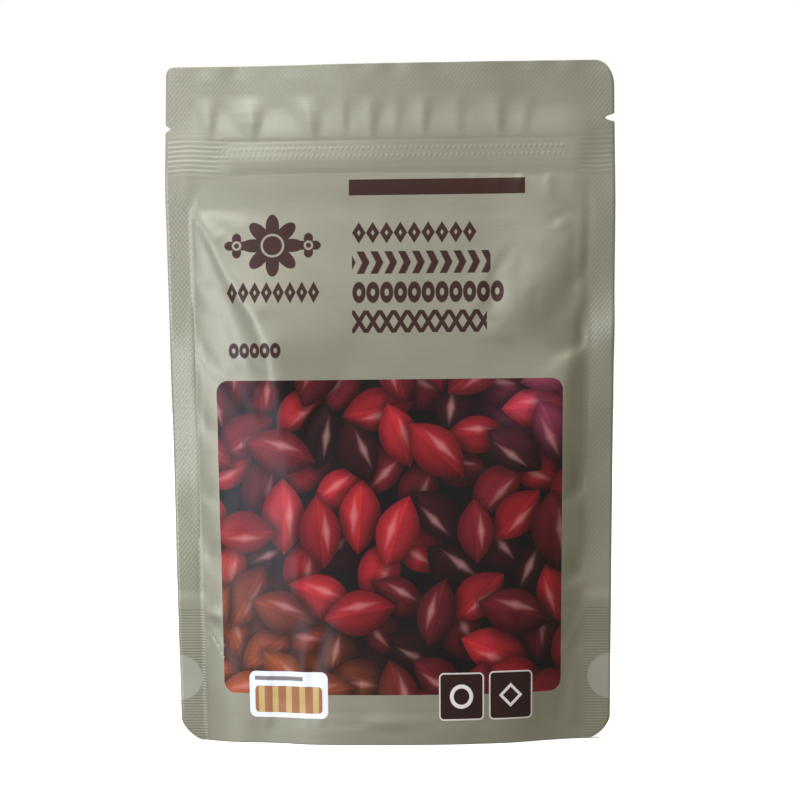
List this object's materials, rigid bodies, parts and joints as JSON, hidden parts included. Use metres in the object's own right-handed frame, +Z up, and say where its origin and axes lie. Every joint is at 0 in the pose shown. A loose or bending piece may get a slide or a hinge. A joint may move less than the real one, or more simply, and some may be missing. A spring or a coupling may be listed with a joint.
{
  "type": "stand-up pouch of dried cranberries",
  "caption": "Filled stand-up pouch of matte laminate film with a folded base gusset, knurled edge seals, a press-to-close zip, tear notches and dried cranberries sealed inside.",
  "frame": {"origin": "on the surface that the pouch stands on, midway between its front and back panels and midway across its width", "axes": "+X across the pouch to the right as seen from the front, +Y from front to back, +Z up, from the base gusset to the top seal; the front panel faces -Y"},
  "size_m": [0.13, 0.033, 0.1953],
  "materials": {
    "film": "satin",
    "zip": "satin",
    "fruit": "satin"
  },
  "bodies": {
    "root": {"front_panel": "film", "back_panel": "film", "base_gusset": "film", "zip_rib_strip": "zip", "zip_groove_strip": "zip", "dried_cranberries": "fruit"}
  },
  "joints": []
}
